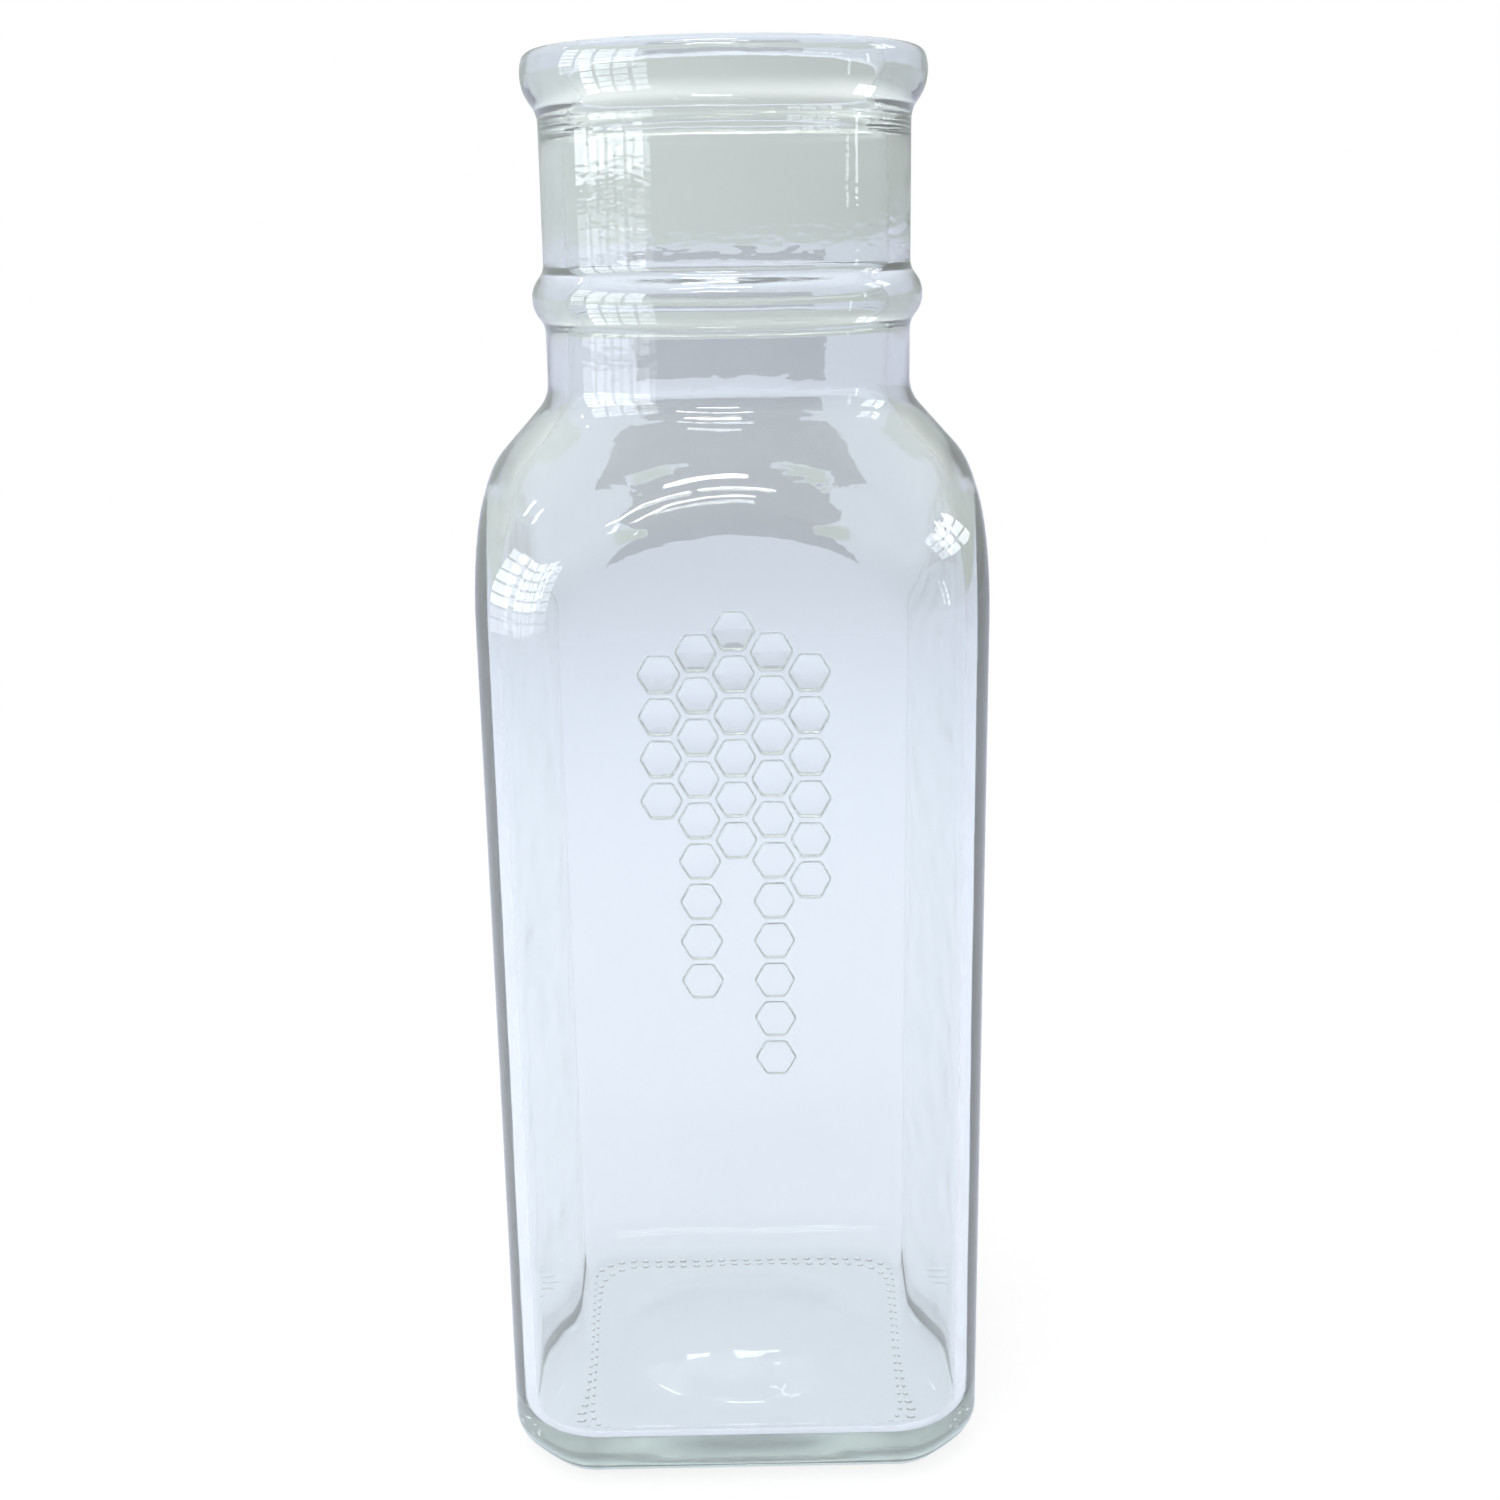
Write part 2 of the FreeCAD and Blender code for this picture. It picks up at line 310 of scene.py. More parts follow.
def jar_rings():
    """The whole section of the glass, from the middle of the base round to the middle of the floor."""
    shoulder_line = TOTAL_HEIGHT - NECK_ABOVE_BEAD - NECK_BELOW_BEAD
    neck_inside = NECK_RADIUS - NECK_WALL
    outer = SimpleNamespace(
        flat=HALF_WIDTH, corner=math.sqrt(2) * HALF_WIDTH - CORNER_CUT, dome=SHOULDER_ROUND,
        neck=NECK_RADIUS, root=NECK_ROOT_ROUND, line=shoulder_line,
        base=STIPPLE_HEIGHT, heel=HEEL_ROUND, heel_top=HEEL_ROUND, ripple=0.0)
    inner = SimpleNamespace(
        flat=outer.flat - BODY_WALL, corner=outer.corner - BODY_WALL, dome=outer.dome - BODY_WALL,
        neck=neck_inside, root=outer.root + BODY_WALL,
        line=shoulder_line + (NECK_WALL * cos(SHOULDER_ANGLE) - BODY_WALL) / sin(SHOULDER_ANGLE),
        base=BASE_THICKNESS, heel=INSIDE_HEEL_ROUND, heel_top=BASE_THICKNESS + INSIDE_HEEL_ROUND,
        ripple=1.0)

    push_up = dish_rings(STIPPLE_HEIGHT, PUSH_UP_DEPTH, PUSH_UP_RADIUS)
    bead_into, bead_over, bead_out = swell(
        NECK_RADIUS, BEAD_PROJECTION, TOTAL_HEIGHT - NECK_ABOVE_BEAD, BEAD_CROWN_ROUND, BEAD_ROOT_ROUND)
    lip_height = TOTAL_HEIGHT - LIP_DROP
    lip_into = swell(NECK_RADIUS, LIP_PROJECTION, lip_height, LIP_CROWN_ROUND, LIP_ROOT_ROUND)[0]
    crown_axis = NECK_RADIUS + LIP_PROJECTION - LIP_CROWN_ROUND
    crown_start = math.degrees(math.asin((lip_into[-1][1] - lip_height) / LIP_CROWN_ROUND))
    edge_height = TOTAL_HEIGHT - LIP_EDGE_ROUND
    edge_reach = LIP_CROWN_ROUND - LIP_EDGE_ROUND
    crown_end = math.degrees(math.asin((edge_height - lip_height) / edge_reach))
    lip = lip_into + arc(crown_axis, lip_height, LIP_CROWN_ROUND, crown_start, crown_end)
    lip += arc(crown_axis + edge_reach * cos(crown_end), edge_height, LIP_EDGE_ROUND, crown_end, 90)
    neck = filled(bead_into + bead_over + bead_out + lip, WALL_STEP)

    mouth = arc(BORE_RADIUS + MOUTH_ROUND, TOTAL_HEIGHT - MOUTH_ROUND, MOUTH_ROUND, 90, 180)
    step = neck_inside - BORE_RADIUS
    turn = math.degrees(math.acos(1 - step / (2 * STEP_ROUND)))
    step_top = TOTAL_HEIGHT - MOUTH_ROUND - BORE_LENGTH
    step_bottom = step_top - 2 * STEP_ROUND * sin(turn)
    bore = mouth + arc(BORE_RADIUS + STEP_ROUND, step_top, STEP_ROUND, 180, 180 + turn)
    bore += arc(neck_inside - STEP_ROUND, step_bottom, STEP_ROUND, turn, 0)

    inside = shoulder_rings(inner)[::-1]
    floor = dish_rings(BASE_THICKNESS, FLOOR_CROWN, FLOOR_CROWN_RADIUS, inner.ripple)[::-1]
    outside = push_up + shoulder_rings(outer) + neck
    return outside + filled(bore + [inside[0]], WALL_STEP) + inside + floor


def ring_object(name, rings):
    """Object whose points carry the rings of a section, for the node tree to turn."""
    mesh = bpy.data.meshes.new(name)
    mesh.vertices.add(len(rings))
    for number, field in enumerate(RING_FIELDS):
        values = [float(each[number]) for each in rings]
        mesh.attributes.new(field, "FLOAT", "POINT").data.foreach_set("value", values)
    made = bpy.data.objects.new(name, mesh)
    bpy.context.scene.collection.objects.link(made)
    return made


def new_tree(name, sockets):
    """Geometry node tree with named inputs of the given kinds, and one geometry output."""
    tree = bpy.data.node_groups.new(name, "GeometryNodeTree")
    for label, kind in sockets.items():
        tree.interface.new_socket(label, in_out="INPUT", socket_type="NodeSocket" + kind)
    tree.interface.new_socket("Geometry", in_out="OUTPUT", socket_type="NodeSocketGeometry")
    return tree, tree.nodes.new("NodeGroupInput").outputs


def close_tree(tree, geometry):
    """Last steps of a tree: instances made real, smooth shading and the material, then the output."""
    real = add_node(tree, "GeometryNodeRealizeInstances", {"Geometry": geometry})
    smooth = add_node(tree, "GeometryNodeSetShadeSmooth", {"Geometry": real.outputs[0]})
    finished = add_node(tree, "GeometryNodeSetMaterial", {
        "Geometry": smooth.outputs[0], "Material": clear_glass})
    output = tree.nodes.new("NodeGroupOutput")
    tree.links.new(finished.outputs[0], output.inputs[0])


def turning_tree():
    """Tree that turns rings about the axis and flattens them on a number of sides."""
    tree, given = new_tree("turned_and_flattened", {
        "Rings": "Geometry", "Sides": "Float", "Columns": "Int", "Weld": "Float"})
    size = add_node(tree, "GeometryNodeAttributeDomainSize", {"Geometry": given["Rings"]})
    count = Field(tree, size.outputs["Point Count"])
    grid = add_node(tree, "GeometryNodeMeshGrid", {
        "Vertices X": Field(tree, given["Columns"]) + 1, "Vertices Y": count})
    place = add_node(tree, "GeometryNodeInputPosition")
    spread = add_node(tree, "ShaderNodeSeparateXYZ", {"Vector": place.outputs[0]})
    row = (Field(tree, spread.outputs["Y"]) + 0.5) * (count - 1) + 0.5
    row = row.math("FLOOR")

    ring_values = {}
    for field in RING_FIELDS:
        stored = add_node(tree, "GeometryNodeInputNamedAttribute", {"Name": field}, data_type="FLOAT")
        sample = add_node(tree, "GeometryNodeSampleIndex", {
            "Geometry": given["Rings"], "Value": stored.outputs["Attribute"], "Index": row,
        }, data_type="FLOAT")
        ring_values[field] = Field(tree, sample.outputs["Value"])
    here = SimpleNamespace(**ring_values)

    sides = Field(tree, given["Sides"])
    even = (Field(tree, spread.outputs["X"]) + 0.5) * math.tau
    turn = even + (even * sides).math("SINE") * 0.5 / sides
    sector = sides.math("POWER", -1.0) * math.tau
    facing = (turn.math("WRAP", sector * 0.5, sector * -0.5)).math("COSINE")

    cross = here.lean * facing
    near_turned = here.bend - here.lean * here.corner
    near_flat = here.bend - here.flat
    square = here.lean * here.lean + facing * facing - cross * cross * 2
    linear = here.lean * near_turned + facing * near_flat
    linear = linear - cross * (here.lean * near_flat + facing * near_turned)
    rest = near_turned * near_turned + near_flat * near_flat - near_turned * near_flat * cross * 2
    rest = rest + here.bend * here.bend * (cross * cross - 1)
    under_root = linear * linear - square * rest
    rounded = (under_root.math("SQRT") - linear) / square
    from_turned = here.lean * rounded + near_turned
    from_flat = facing * rounded + near_flat
    on_edge = under_root.math("GREATER_THAN", 0.0)
    on_edge = on_edge * (from_turned - from_flat * cross).math("GREATER_THAN", 0.0)
    on_edge = on_edge * (from_flat - from_turned * cross).math("GREATER_THAN", 0.0)
    plain = here.corner.math("MINIMUM", here.flat / facing)
    radius = plain + on_edge * (rounded - plain)

    place = add_node(tree, "ShaderNodeCombineXYZ", {
        "X": radius * turn.math("COSINE"), "Y": radius * turn.math("SINE"), "Z": here.height})
    shaped = add_node(tree, "GeometryNodeSetPosition", {
        "Geometry": grid.outputs["Mesh"], "Position": place.outputs[0]})
    marked = add_node(tree, "GeometryNodeStoreNamedAttribute", {
        "Geometry": shaped.outputs[0], "Name": "ripple", "Value": here.ripple}, data_type="FLOAT")
    welded = add_node(tree, "GeometryNodeMergeByDistance", {
        "Geometry": marked.outputs[0], "Distance": given["Weld"]})
    close_tree(tree, welded.outputs[0])
    return tree


def made_by(tree, piece, **inputs):
    """Run a node tree on an object with the given inputs and keep the result as its plain mesh."""
    modifier = piece.modifiers.new(tree.name, "NODES")
    modifier.node_group = tree
    for item in tree.interface.items_tree:
        label = item.name.lower().replace(" ", "_")
        if item.in_out == "INPUT" and label in inputs:
            modifier[item.identifier] = inputs[label]
    evaluated = piece.evaluated_get(bpy.context.evaluated_depsgraph_get())
    mesh = bpy.data.meshes.new_from_object(evaluated)
    piece.modifiers.remove(modifier)
    mesh.materials.clear()
    mesh.materials.append(clear_glass)
    piece.data = mesh
    return piece


turning = turning_tree()
jar = ring_object("jar", jar_rings())
jar = made_by(turning, jar, sides=WALL_SIDES, columns=WALL_COLUMNS, weld=WELD)


# Comb on the back panel
# Low six-sided cells that the mould pressed into the outside of one flat, in columns that end at
# different heights, with soft feet and crowns as pressed glass has.
CELL_WIDTH = 5.2 * MM
CELL_GAP = 0.7 * MM
CELL_HEIGHT = body_high.y - HALF_WIDTH
CELL_CORNER_ROUND = 0.7 * MM
CELL_MARGIN = 0.22 * MM
CELL_FOOT = 0.1 * MM
CELL_SLOPE = 0.46 * MM
CELL_STEPS = 6
CELL_SIDES = 6.0
CELL_HALF_TURN = 30
CELL_COLUMNS = 36
COMB_TOP = 97 * MM
COLUMN_CELLS = (4, 9, 6, 11, 6)
PANEL_MARGIN = 2 * MM


def cell_ring(inset, height):
    """Ring of a cell, that far in from the cell's outline at the panel."""
    flat = CELL_WIDTH / 2 - inset
    bend = CELL_CORNER_ROUND - inset * CELL_CORNER_ROUND / CELL_WIDTH
    reach = 1 / cos(CELL_HALF_TURN)
    return ring(flat * reach - bend * (reach - 1), height, flat, bend)


def cell_rings():
    """A cell from the panel up its soft-edged side to the middle of its top."""
    rings = [cell_ring(-CELL_MARGIN, 0.0)]
    for share in np.linspace(0, 1, CELL_STEPS + 1):
        rise = share * share * (3 - 2 * share)
        rings.append(cell_ring(CELL_SLOPE * share - CELL_FOOT, CELL_HEIGHT * rise))
    return rings + [ring(0.0, CELL_HEIGHT)]


def comb_places():
    """Middles of the cells on the panel laid flat, across and down, column by column."""
    pitch = CELL_WIDTH + CELL_GAP
    middle = (len(COLUMN_CELLS) - 1) / 2
    places = []
    for column, count in enumerate(COLUMN_CELLS):
        top = COMB_TOP - CELL_WIDTH / 2 - abs(column - middle) * pitch / 2
        across = (column - middle) * pitch * cos(CELL_HALF_TURN)
        places += [(across, row * pitch - top, 0.0) for row in range(count)]
    return places


def point_object(name, places):
    """Object that holds bare points for a node tree to set things on."""
    mesh = bpy.data.meshes.new(name)
    mesh.from_pydata(places, [], [])
    made = bpy.data.objects.new(name, mesh)
    bpy.context.scene.collection.objects.link(made)
    return made


cell = ring_object("cell", cell_rings())
cell = made_by(turning, cell, sides=CELL_SIDES, columns=CELL_COLUMNS, weld=WELD)
comb = point_object("comb", comb_places())


# Stipple under the base
# Two rows of small bumps along the square band that the jar stands on. They keep the hot glass off the
# belt when the jar is made, and they show through the floor of the jar as lines of dots.
DOT_RADIUS = 0.45 * MM
DOT_MARGIN = 0.1 * MM
DOT_STEPS = 4
DOT_COLUMNS = 10
DOT_PITCH = 1.8 * MM
DOT_ROWS = (20.4 * MM, 21.8 * MM)
DOT_CORNER_ROUND = 6 * MM
DOT_CORNER_POINTS = 8


def dot_rings():
    """A low dome, from the band to its top."""
    rings = [ring(DOT_RADIUS + DOT_MARGIN, 0.0)]
    for share in np.linspace(0, 1, DOT_STEPS + 1):
        rings.append(ring(DOT_RADIUS * (1 - share), STIPPLE_HEIGHT * (1 - (1 - share) ** 2)))
    return rings


dot = ring_object("dot", dot_rings())
dot = made_by(turning, dot, sides=WALL_SIDES, columns=DOT_COLUMNS, weld=WELD)


# Relief and stipple set into the glass
# The mould's cutting is part of the same skin: the panel and the band are opened, the cells and dots are
# set in, and the flat glass between them is filled in. The inside, which no mould touches, is left a
# little uneven.
RIPPLE_HEIGHT = 0.22 * MM
RIPPLE_SIZE = 24 * MM
RIPPLE_DETAIL = 1.0
RIPPLE_STRETCH = (1, 1, 0.45)
RIPPLE_PLACE = (0.31, 0.17, 0.53)
EDGE_ON = 0.002 * MM
RIM_FACES = 1.5


def relief_tree():
    """Tree that sets the cells and dots into the wall and lets the inside wander."""
    tree, given = new_tree("pressed_relief", {
        "Wall": "Geometry", "Cell": "Object", "Comb": "Object", "Dot": "Object",
        "Panel Half Width": "Float", "Panel Low": "Float", "Panel High": "Float", "Panel Depth": "Float",
        "Band Level": "Float", "Dot Pitch": "Float", "Inner Row": "Float", "Outer Row": "Float",
        "Corner Round": "Float", "Ripple Height": "Float", "Ripple Size": "Float", "Weld": "Float"})
    place = add_node(tree, "GeometryNodeInputPosition").outputs[0]
    spot = add_node(tree, "ShaderNodeSeparateXYZ", {"Vector": place}).outputs
    across, depth, level = (Field(tree, spot[axis]) for axis in "XYZ")

    stretched = add_node(tree, "ShaderNodeVectorMath", {0: place, 1: RIPPLE_STRETCH}, operation="MULTIPLY")
    moved = add_node(tree, "ShaderNodeVectorMath", {0: stretched.outputs[0], 1: RIPPLE_PLACE})
    fineness = Field(tree, given["Ripple Size"]).math("POWER", -1.0)
    noise = add_node(tree, "ShaderNodeTexNoise", {
        "Vector": moved.outputs[0], "Scale": fineness, "Detail": RIPPLE_DETAIL})
    share = add_node(tree, "GeometryNodeInputNamedAttribute", {"Name": "ripple"}, data_type="FLOAT")
    wander = (Field(tree, noise.outputs["Fac"]) - 0.5) * 2 * Field(tree, given["Ripple Height"])
    wander = wander * Field(tree, share.outputs["Attribute"])
    outward = add_node(tree, "GeometryNodeInputNormal").outputs[0]
    offset = add_node(tree, "ShaderNodeVectorMath", {0: outward, "Scale": wander}, operation="SCALE")
    uneven = add_node(tree, "GeometryNodeSetPosition", {
        "Geometry": given["Wall"], "Offset": offset.outputs[0]})

    panel = (depth - Field(tree, given["Panel Depth"])).math("ABSOLUTE").math("LESS_THAN", EDGE_ON)
    panel = panel * across.math("ABSOLUTE").math("LESS_THAN", Field(tree, given["Panel Half Width"]))
    panel = panel * level.math("GREATER_THAN", Field(tree, given["Panel Low"]))
    panel = panel * level.math("LESS_THAN", Field(tree, given["Panel High"]))
    band = (level - Field(tree, given["Band Level"])).math("ABSOLUTE").math("LESS_THAN", EDGE_ON)
    windows = add_node(tree, "GeometryNodeDeleteGeometry", {
        "Geometry": uneven.outputs[0], "Selection": panel + band}, domain="FACE")
    neighbours = add_node(tree, "GeometryNodeInputMeshEdgeNeighbors")
    bare = Field(tree, neighbours.outputs["Face Count"]).math("LESS_THAN", RIM_FACES)
    on_panel = level.math("GREATER_THAN", Field(tree, given["Band Level"]) * 2)

    def rims(geometry, selection):
        made = add_node(tree, "GeometryNodeMeshToCurve", {"Mesh": geometry, "Selection": selection})
        return made.outputs[0]

    def joined(*parts):
        made = tree.nodes.new("GeometryNodeJoinGeometry")
        for part in parts:
            tree.links.new(part, made.inputs[0])
        return made.outputs[0]

    def moved_by(geometry, **change):
        inputs = {name.capitalize(): value for name, value in change.items()}
        return add_node(tree, "GeometryNodeTransform", {"Geometry": geometry, **inputs}).outputs[0]

    def set_on(points, piece, turn):
        shape = add_node(tree, "GeometryNodeObjectInfo", {"Object": piece}).outputs["Geometry"]
        made = add_node(tree, "GeometryNodeInstanceOnPoints", {
            "Points": points, "Instance": moved_by(shape, rotation=turn)})
        return add_node(tree, "GeometryNodeRealizeInstances", {"Geometry": made.outputs[0]}).outputs[0]

    def filled_between(*curves):
        return add_node(tree, "GeometryNodeFillCurve", {"Curve": joined(*curves)}).outputs[0]

    middles = add_node(tree, "GeometryNodeObjectInfo", {"Object": given["Comb"]}).outputs["Geometry"]
    cells = set_on(middles, given["Cell"], (0, 0, math.radians(CELL_HALF_TURN)))
    laid_flat = moved_by(rims(windows.outputs[0], bare * on_panel), rotation=(math.radians(90), 0, 0))
    panel_face = joined(filled_between(laid_flat, rims(cells, bare)), cells)
    depth_out = add_node(tree, "ShaderNodeCombineXYZ", {"Y": given["Panel Depth"]}).outputs[0]
    panel_face = moved_by(panel_face, rotation=(math.radians(-90), 0, 0), translation=depth_out)

    rows = []
    for half_width in (given["Inner Row"], given["Outer Row"]):
        width = Field(tree, half_width) * 2
        outline = add_node(tree, "GeometryNodeCurvePrimitiveQuadrilateral", {
            "Width": width, "Height": width})
        rounded = add_node(tree, "GeometryNodeFilletCurve", {
            "Curve": outline.outputs[0], "Count": DOT_CORNER_POINTS, "Radius": given["Corner Round"],
        }, mode="POLY")
        spaced = add_node(tree, "GeometryNodeResampleCurve", {
            "Curve": rounded.outputs[0], "Length": given["Dot Pitch"]}, mode="LENGTH")
        rows.append(spaced.outputs[0])
    dots = set_on(joined(*rows), given["Dot"], (math.radians(180), 0, 0))
    band_rims = rims(windows.outputs[0], bare * on_panel.left_over())
    band_fill = filled_between(band_rims, rims(dots, bare))
    band_fill = add_node(tree, "GeometryNodeFlipFaces", {"Mesh": band_fill}).outputs[0]
    band_level = add_node(tree, "ShaderNodeCombineXYZ", {"Z": given["Band Level"]}).outputs[0]
    band_face = moved_by(joined(band_fill, dots), translation=band_level)

    whole = joined(windows.outputs[0], panel_face, band_face)
    welded = add_node(tree, "GeometryNodeMergeByDistance", {"Geometry": whole, "Distance": given["Weld"]})
    close_tree(tree, welded.outputs[0])
    return tree


comb_reach = max(place[0] for place in comb_places()) + CELL_WIDTH / 2 / cos(CELL_HALF_TURN)
comb_bottom = -max(place[1] for place in comb_places()) - CELL_WIDTH / 2
jar = made_by(
    relief_tree(), jar, cell=cell, comb=comb, dot=dot, panel_half_width=comb_reach + PANEL_MARGIN,
    panel_low=comb_bottom - PANEL_MARGIN, panel_high=COMB_TOP + PANEL_MARGIN, panel_depth=HALF_WIDTH,
    band_level=STIPPLE_HEIGHT, dot_pitch=DOT_PITCH, inner_row=DOT_ROWS[0], outer_row=DOT_ROWS[1],
    corner_round=DOT_CORNER_ROUND, ripple_height=RIPPLE_HEIGHT, ripple_size=RIPPLE_SIZE, weld=WELD)
for helper in (cell, comb, dot):
    bpy.data.objects.remove(helper)
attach(jar, "root")
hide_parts("bottle")


# Floor
# A plain white table top that keeps the jar's shadow and ends on the left, above the foot of a window.
# Only the glass sees painted light on it: a glow of violet white that greys with distance as painted
# shade, and a painted grey strip, starting well behind the jar, that the shoulder gathers as a painted
# reflection.
FLOOR_HALF_SIZE = 6.0
FLOOR_TO_LEFT = 0.7
WHITE = (1, 1, 1, 1)
FLOOR_WHITE = (0.90, 0.90, 0.90, 1.0)
# Colours of the floor's glow as only the glass sees it: painted light near the jar, painted shade far off,
# and a painted grey strip.
NEAR_IN_GLASS = (0.85, 0.90, 1.08, 1.0)
FAR_IN_GLASS = (0.63, 0.66, 0.79, 1.0)
PAINTED_STRIP_IN_GLASS = (0.34, 0.355, 0.42, 1.0)
FAR_FROM = 0.22
FAR_BY = 0.70
STRIP_FROM = 0.78
STRIP_SPREAD = 0.125
SHADOW_SHARE = 0.2
SHADOW_REACH = 0.5


def floor_finish():
    """White that glows to the eye, a painted glow of light and shade to the glass, with a matt part round
    the jar for its shadow.
    """
    material = bpy.data.materials.new("table_white")
    material.use_nodes = True
    tree = material.node_tree
    tree.nodes.clear()
    rays = add_node(tree, "ShaderNodeLightPath").outputs
    place = add_node(tree, "ShaderNodeTexCoord").outputs["Object"]
    spot = add_node(tree, "ShaderNodeSeparateXYZ", {"Vector": place}).outputs
    across = Field(tree, spot["X"]).math("ABSOLUTE")
    behind = Field(tree, spot["Y"])
    distance = add_node(tree, "ShaderNodeVectorMath", {0: place}, operation="LENGTH").outputs["Value"]
    # Painted light and shade for the glass only: the glow greys from violet white near the jar to grey far
    # off, and a grey strip behind the jar is painted in.
    strip = (behind * STRIP_SPREAD).math("GREATER_THAN", across)
    strip = strip * behind.math("GREATER_THAN", STRIP_FROM)
    in_glass = colour_mix(tree, ramp(tree, distance, FAR_FROM, FAR_BY), NEAR_IN_GLASS, FAR_IN_GLASS)
    in_glass = colour_mix(tree, strip, in_glass, PAINTED_STRIP_IN_GLASS)
    shown = Field(tree, rays["Is Camera Ray"]).math("MAXIMUM", Field(tree, rays["Is Glossy Ray"]))
    shown = shown.math("MAXIMUM", Field(tree, rays["Is Transmission Ray"]))
    seen = colour_mix(tree, rays["Is Camera Ray"], in_glass, WHITE)
    glow = add_node(tree, "ShaderNodeEmission", {"Color": seen})
    matt = add_node(tree, "ShaderNodeBsdfDiffuse", {"Color": FLOOR_WHITE})
    clear_of_jar = ramp(tree, distance, 0.0, SHADOW_REACH) * SHADOW_SHARE + (1 - SHADOW_SHARE)
    mixed = add_node(tree, "ShaderNodeMixShader", {
        0: shown * clear_of_jar, 1: matt.outputs[0], 2: glow.outputs[0]})
    add_node(tree, "ShaderNodeOutputMaterial", {"Surface": mixed.outputs[0]})
    return material


def floor_sheet():
    """Sheet on the level that the jar stands on, with its left edge close to the jar."""
    half = FLOOR_HALF_SIZE
    left = -FLOOR_TO_LEFT
    level = body_low.z
    mesh = bpy.data.meshes.new("table")
    corners = [(left, -half, level), (half, -half, level), (half, half, level), (left, half, level)]
    mesh.from_pydata(corners, [], [(0, 1, 2, 3)])
    mesh.materials.append(floor_finish())
    made = bpy.data.objects.new("table", mesh)
    bpy.context.scene.collection.objects.link(made)
    return made


floor_sheet()


# Light
# A plain pale room: white to the eye, grey-green where the glass shows it, brighter on the left and above.
# A paned window stands on the left and goes on faintly below the table, two smaller ones are on the right,
# and rows of long lamps hang overhead.
ROOM_LEFT = (0.55, 0.60, 0.60, 1.0)
ROOM_RIGHT = (0.43, 0.465, 0.455, 1.0)
ROOM_BLEND = 0.6
CEILING = (0.88, 0.92, 0.91, 1.0)
CEILING_FROM = 12
CEILING_BY = 28
BELOW_LEVEL = -1
WINDOW_COLOUR = (0.92, 0.96, 1.0, 1.0)
WINDOW_GLOW = 5.5
GLOW_THROUGH_JAR = 0.35
SKINS_BEFORE_THROUGH = 2.5
PANE_SHARE = 0.8
LEFT_WINDOW = SimpleNamespace(start=-130, sill=1.5, columns=4, rows=5, pane_turn=14, pane_rise=5)
LOW_WINDOW = SimpleNamespace(start=-130, sill=-8.5, columns=4, rows=2, pane_turn=14, pane_rise=5)
LOW_WINDOW_SHARE = 0.35
RIGHT_WINDOW = SimpleNamespace(start=62, sill=20, columns=2, rows=3, pane_turn=11, pane_rise=4)
NARROW_WINDOW = SimpleNamespace(start=92, sill=1, columns=1, rows=4, pane_turn=3, pane_rise=3)
LAMP_COLOUR = (1.0, 1.0, 0.98)
LAMP_HEIGHT = 2.3
LAMP_ROWS = (
    SimpleNamespace(depth=-3.0, width=0.22, glow=14, spans=[(-1.2, 0.35)]),
    SimpleNamespace(depth=-1.85, width=0.16, glow=14, spans=[(-1.5, -0.55), (-0.45, 0.6)]),
    SimpleNamespace(depth=-0.9, width=0.25, glow=14, spans=[(-0.8, 0.2)]),
    SimpleNamespace(depth=1.5, width=0.08, glow=14, spans=[(-2.85, -2.45), (3.1, 4.1)]),
    SimpleNamespace(depth=3.3, width=0.07, glow=7, spans=[(-0.26, -0.14), (-0.06, 0.15)]),
)


def pane_light(turn, rise, window):
    """One where a direction meets a pane of a window, none on its bars or beside it."""
    column = (turn - window.start) / window.pane_turn
    row = (rise - window.sill) / window.pane_rise
    lit = column.math("FRACT").math("LESS_THAN", PANE_SHARE)
    lit = lit * row.math("FRACT").math("LESS_THAN", PANE_SHARE)
    for place, count in ((column, window.columns), (row, window.rows)):
        lit = lit * place.math("GREATER_THAN", 0.0) * place.math("LESS_THAN", float(count))
    return lit


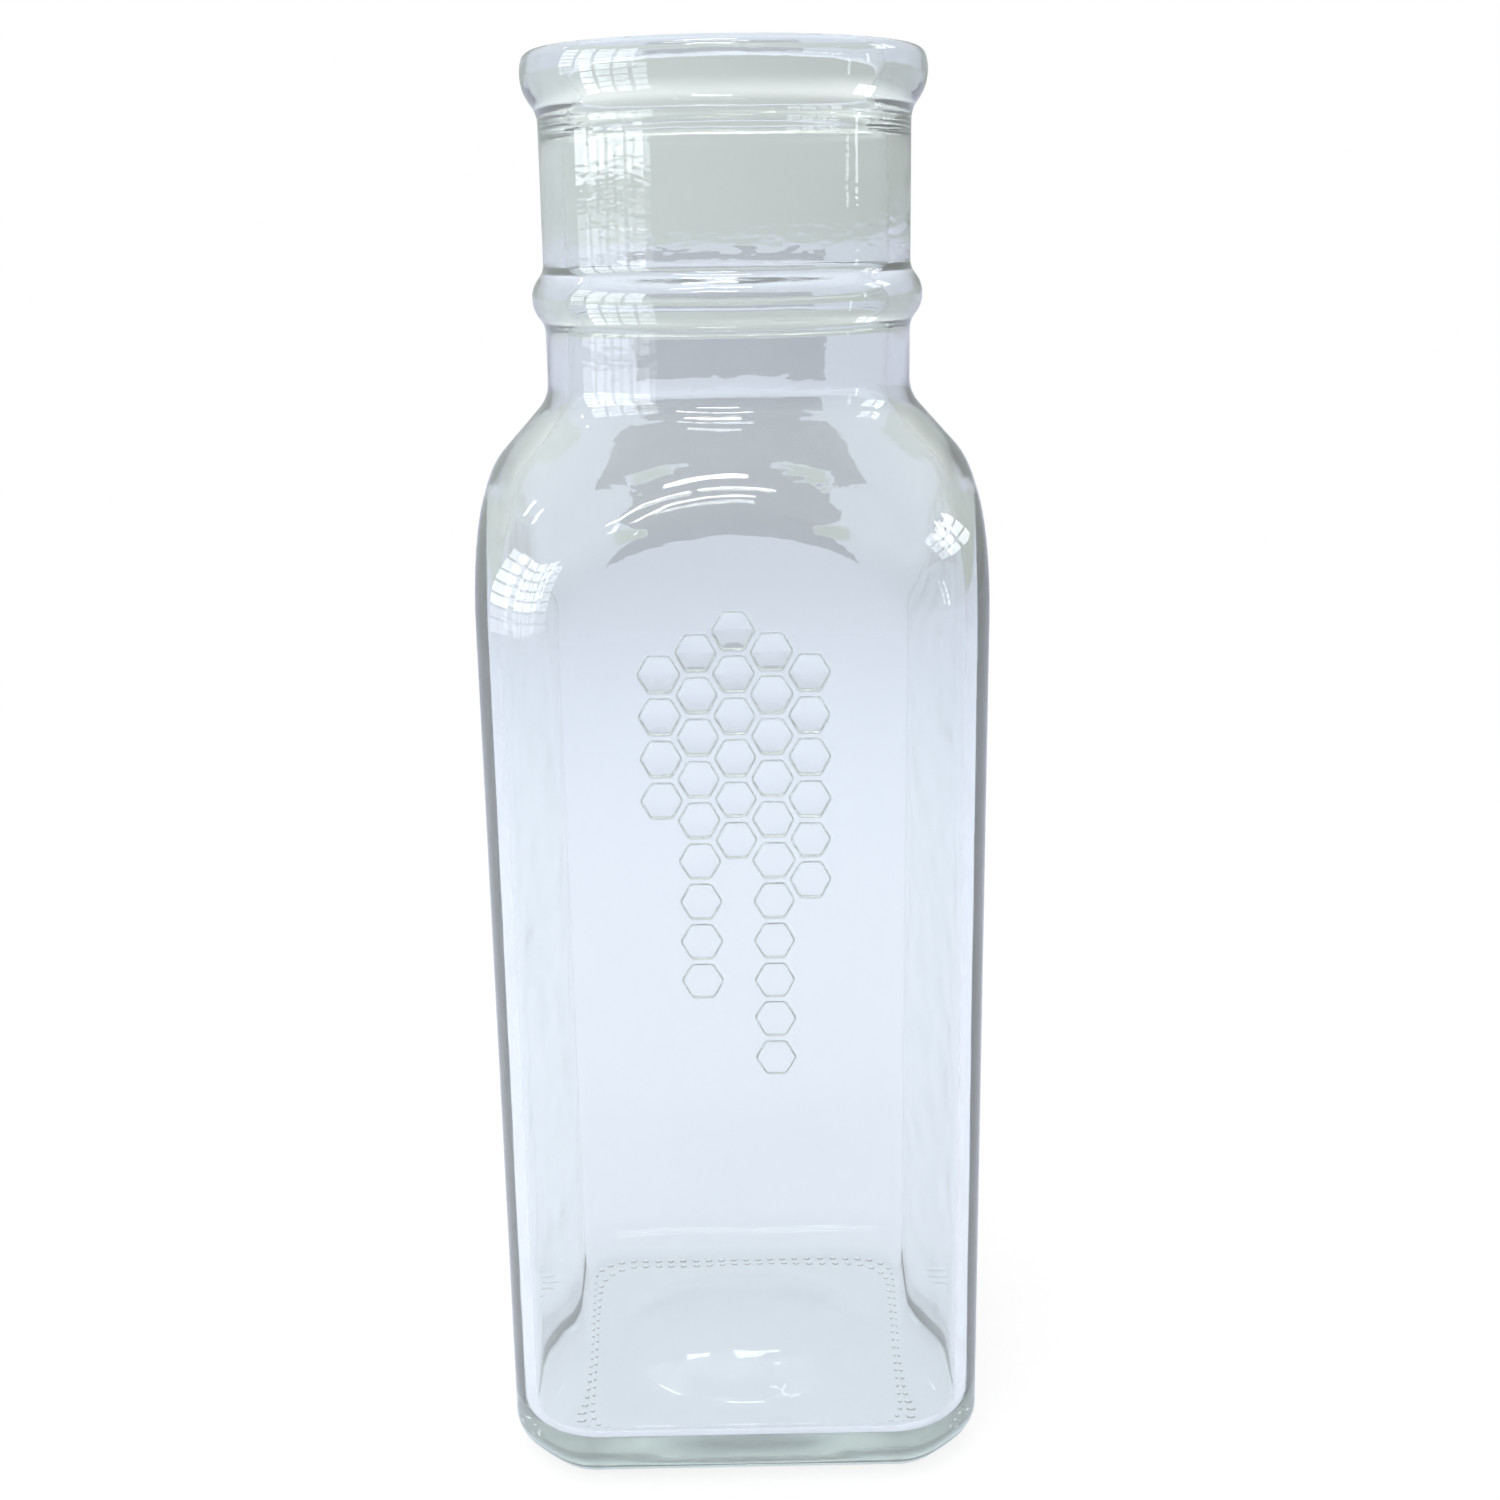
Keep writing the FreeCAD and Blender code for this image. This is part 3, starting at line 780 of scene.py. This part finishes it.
def room():
    """World that is white to the eye and to matt surfaces, and a soft room with windows to the glass.

    Windows glare in reflections, which cross the skin twice at most, and are pale through the jar."""
    world = bpy.data.worlds.new("pale_room")
    world.use_nodes = True
    tree = world.node_tree
    tree.nodes.clear()
    rays = add_node(tree, "ShaderNodeLightPath").outputs
    way = add_node(tree, "ShaderNodeTexCoord").outputs["Generated"]
    parts = add_node(tree, "ShaderNodeSeparateXYZ", {"Vector": way}).outputs
    across, ahead, up = (Field(tree, parts[axis]) for axis in "XYZ")
    turn = across.math("ARCTAN2", ahead).math("DEGREES")
    rise = up.math("ARCSINE").math("DEGREES")
    lit = pane_light(turn, rise, LEFT_WINDOW)
    for window in (RIGHT_WINDOW, NARROW_WINDOW):
        lit = lit + pane_light(turn, rise, window)
    lit_low = pane_light(turn, rise, LOW_WINDOW) * LOW_WINDOW_SHARE
    walls = colour_mix(tree, ramp(tree, across, -ROOM_BLEND, ROOM_BLEND), ROOM_LEFT, ROOM_RIGHT)
    walls = colour_mix(tree, ramp(tree, rise, CEILING_FROM, CEILING_BY), walls, CEILING)
    walls = colour_mix(tree, ramp(tree, rise, BELOW_LEVEL, 0.0), FAR_IN_GLASS, walls)
    inside = add_node(tree, "ShaderNodeBackground", {"Color": walls})
    through = Field(tree, rays["Transmission Depth"]).math("GREATER_THAN", SKINS_BEFORE_THROUGH)
    strength = (lit + lit_low) * through.left_over() * WINDOW_GLOW + lit * through * GLOW_THROUGH_JAR
    windows = add_node(tree, "ShaderNodeBackground", {"Color": WINDOW_COLOUR, "Strength": strength})
    whole = add_node(tree, "ShaderNodeAddShader", {0: inside.outputs[0], 1: windows.outputs[0]})
    white = add_node(tree, "ShaderNodeBackground", {"Color": WHITE})
    plain = Field(tree, rays["Is Camera Ray"]).math("MAXIMUM", Field(tree, rays["Is Diffuse Ray"]))
    seen = add_node(tree, "ShaderNodeMixShader", {0: plain, 1: whole.outputs[0], 2: white.outputs[0]})
    add_node(tree, "ShaderNodeOutputWorld", {"Surface": seen.outputs[0]})
    return world


def hang_lamp(name, left, right, row):
    """Long lamp of a row that hangs level across the room and faces down to the jar."""
    light = bpy.data.lights.new(name, "AREA")
    light.shape = "RECTANGLE"
    light.size = right - left
    light.size_y = row.width
    light.energy = row.glow * math.pi * light.size * light.size_y
    light.color = LAMP_COLOUR
    made = bpy.data.objects.new(name, light)
    made.location = ((left + right) / 2, row.depth, LAMP_HEIGHT)
    made.rotation_euler.x = math.atan2(-row.depth, LAMP_HEIGHT)
    bpy.context.scene.collection.objects.link(made)


bpy.context.scene.world = room()
for row_number, row in enumerate(LAMP_ROWS):
    for number, (left, right) in enumerate(row.spans):
        hang_lamp(f"lamp_{row_number}_{number}", left, right, row)


# Camera
# At the photograph's angle: a little above the shoulder, looking down on the front of the jar.
SENSOR_WIDTH = 36
NEAREST = 10 * MM
FRAME_PIXELS = 1500
FOCAL_PIXELS = 1992.07
AXIS_PIXEL_ROW = 799.38
CAMERA_PLACE = Vector((0.0, -236.82 * MM, 146.36 * MM))
CAMERA_DIP = 16.01
CAMERA_PAN = 0.42
CAMERA_ROLL = -0.86

lens = bpy.data.cameras.new("camera")
lens.sensor_width = SENSOR_WIDTH
lens.lens = SENSOR_WIDTH * FOCAL_PIXELS / FRAME_PIXELS
lens.shift_y = (AXIS_PIXEL_ROW - FRAME_PIXELS / 2) / FRAME_PIXELS
lens.clip_start = NEAREST
camera = bpy.data.objects.new("camera", lens)
turned = Matrix.Rotation(math.radians(-CAMERA_PAN), 4, "Z")
dipped = Matrix.Rotation(math.radians(90 - CAMERA_DIP), 4, "X")
rolled = Matrix.Rotation(math.radians(CAMERA_ROLL), 4, "Z")
camera.matrix_world = Matrix.Translation(CAMERA_PLACE) @ turned @ dipped @ rolled
bpy.context.scene.collection.objects.link(camera)
bpy.context.scene.camera = camera
bpy.context.scene.view_settings.view_transform = "Standard"
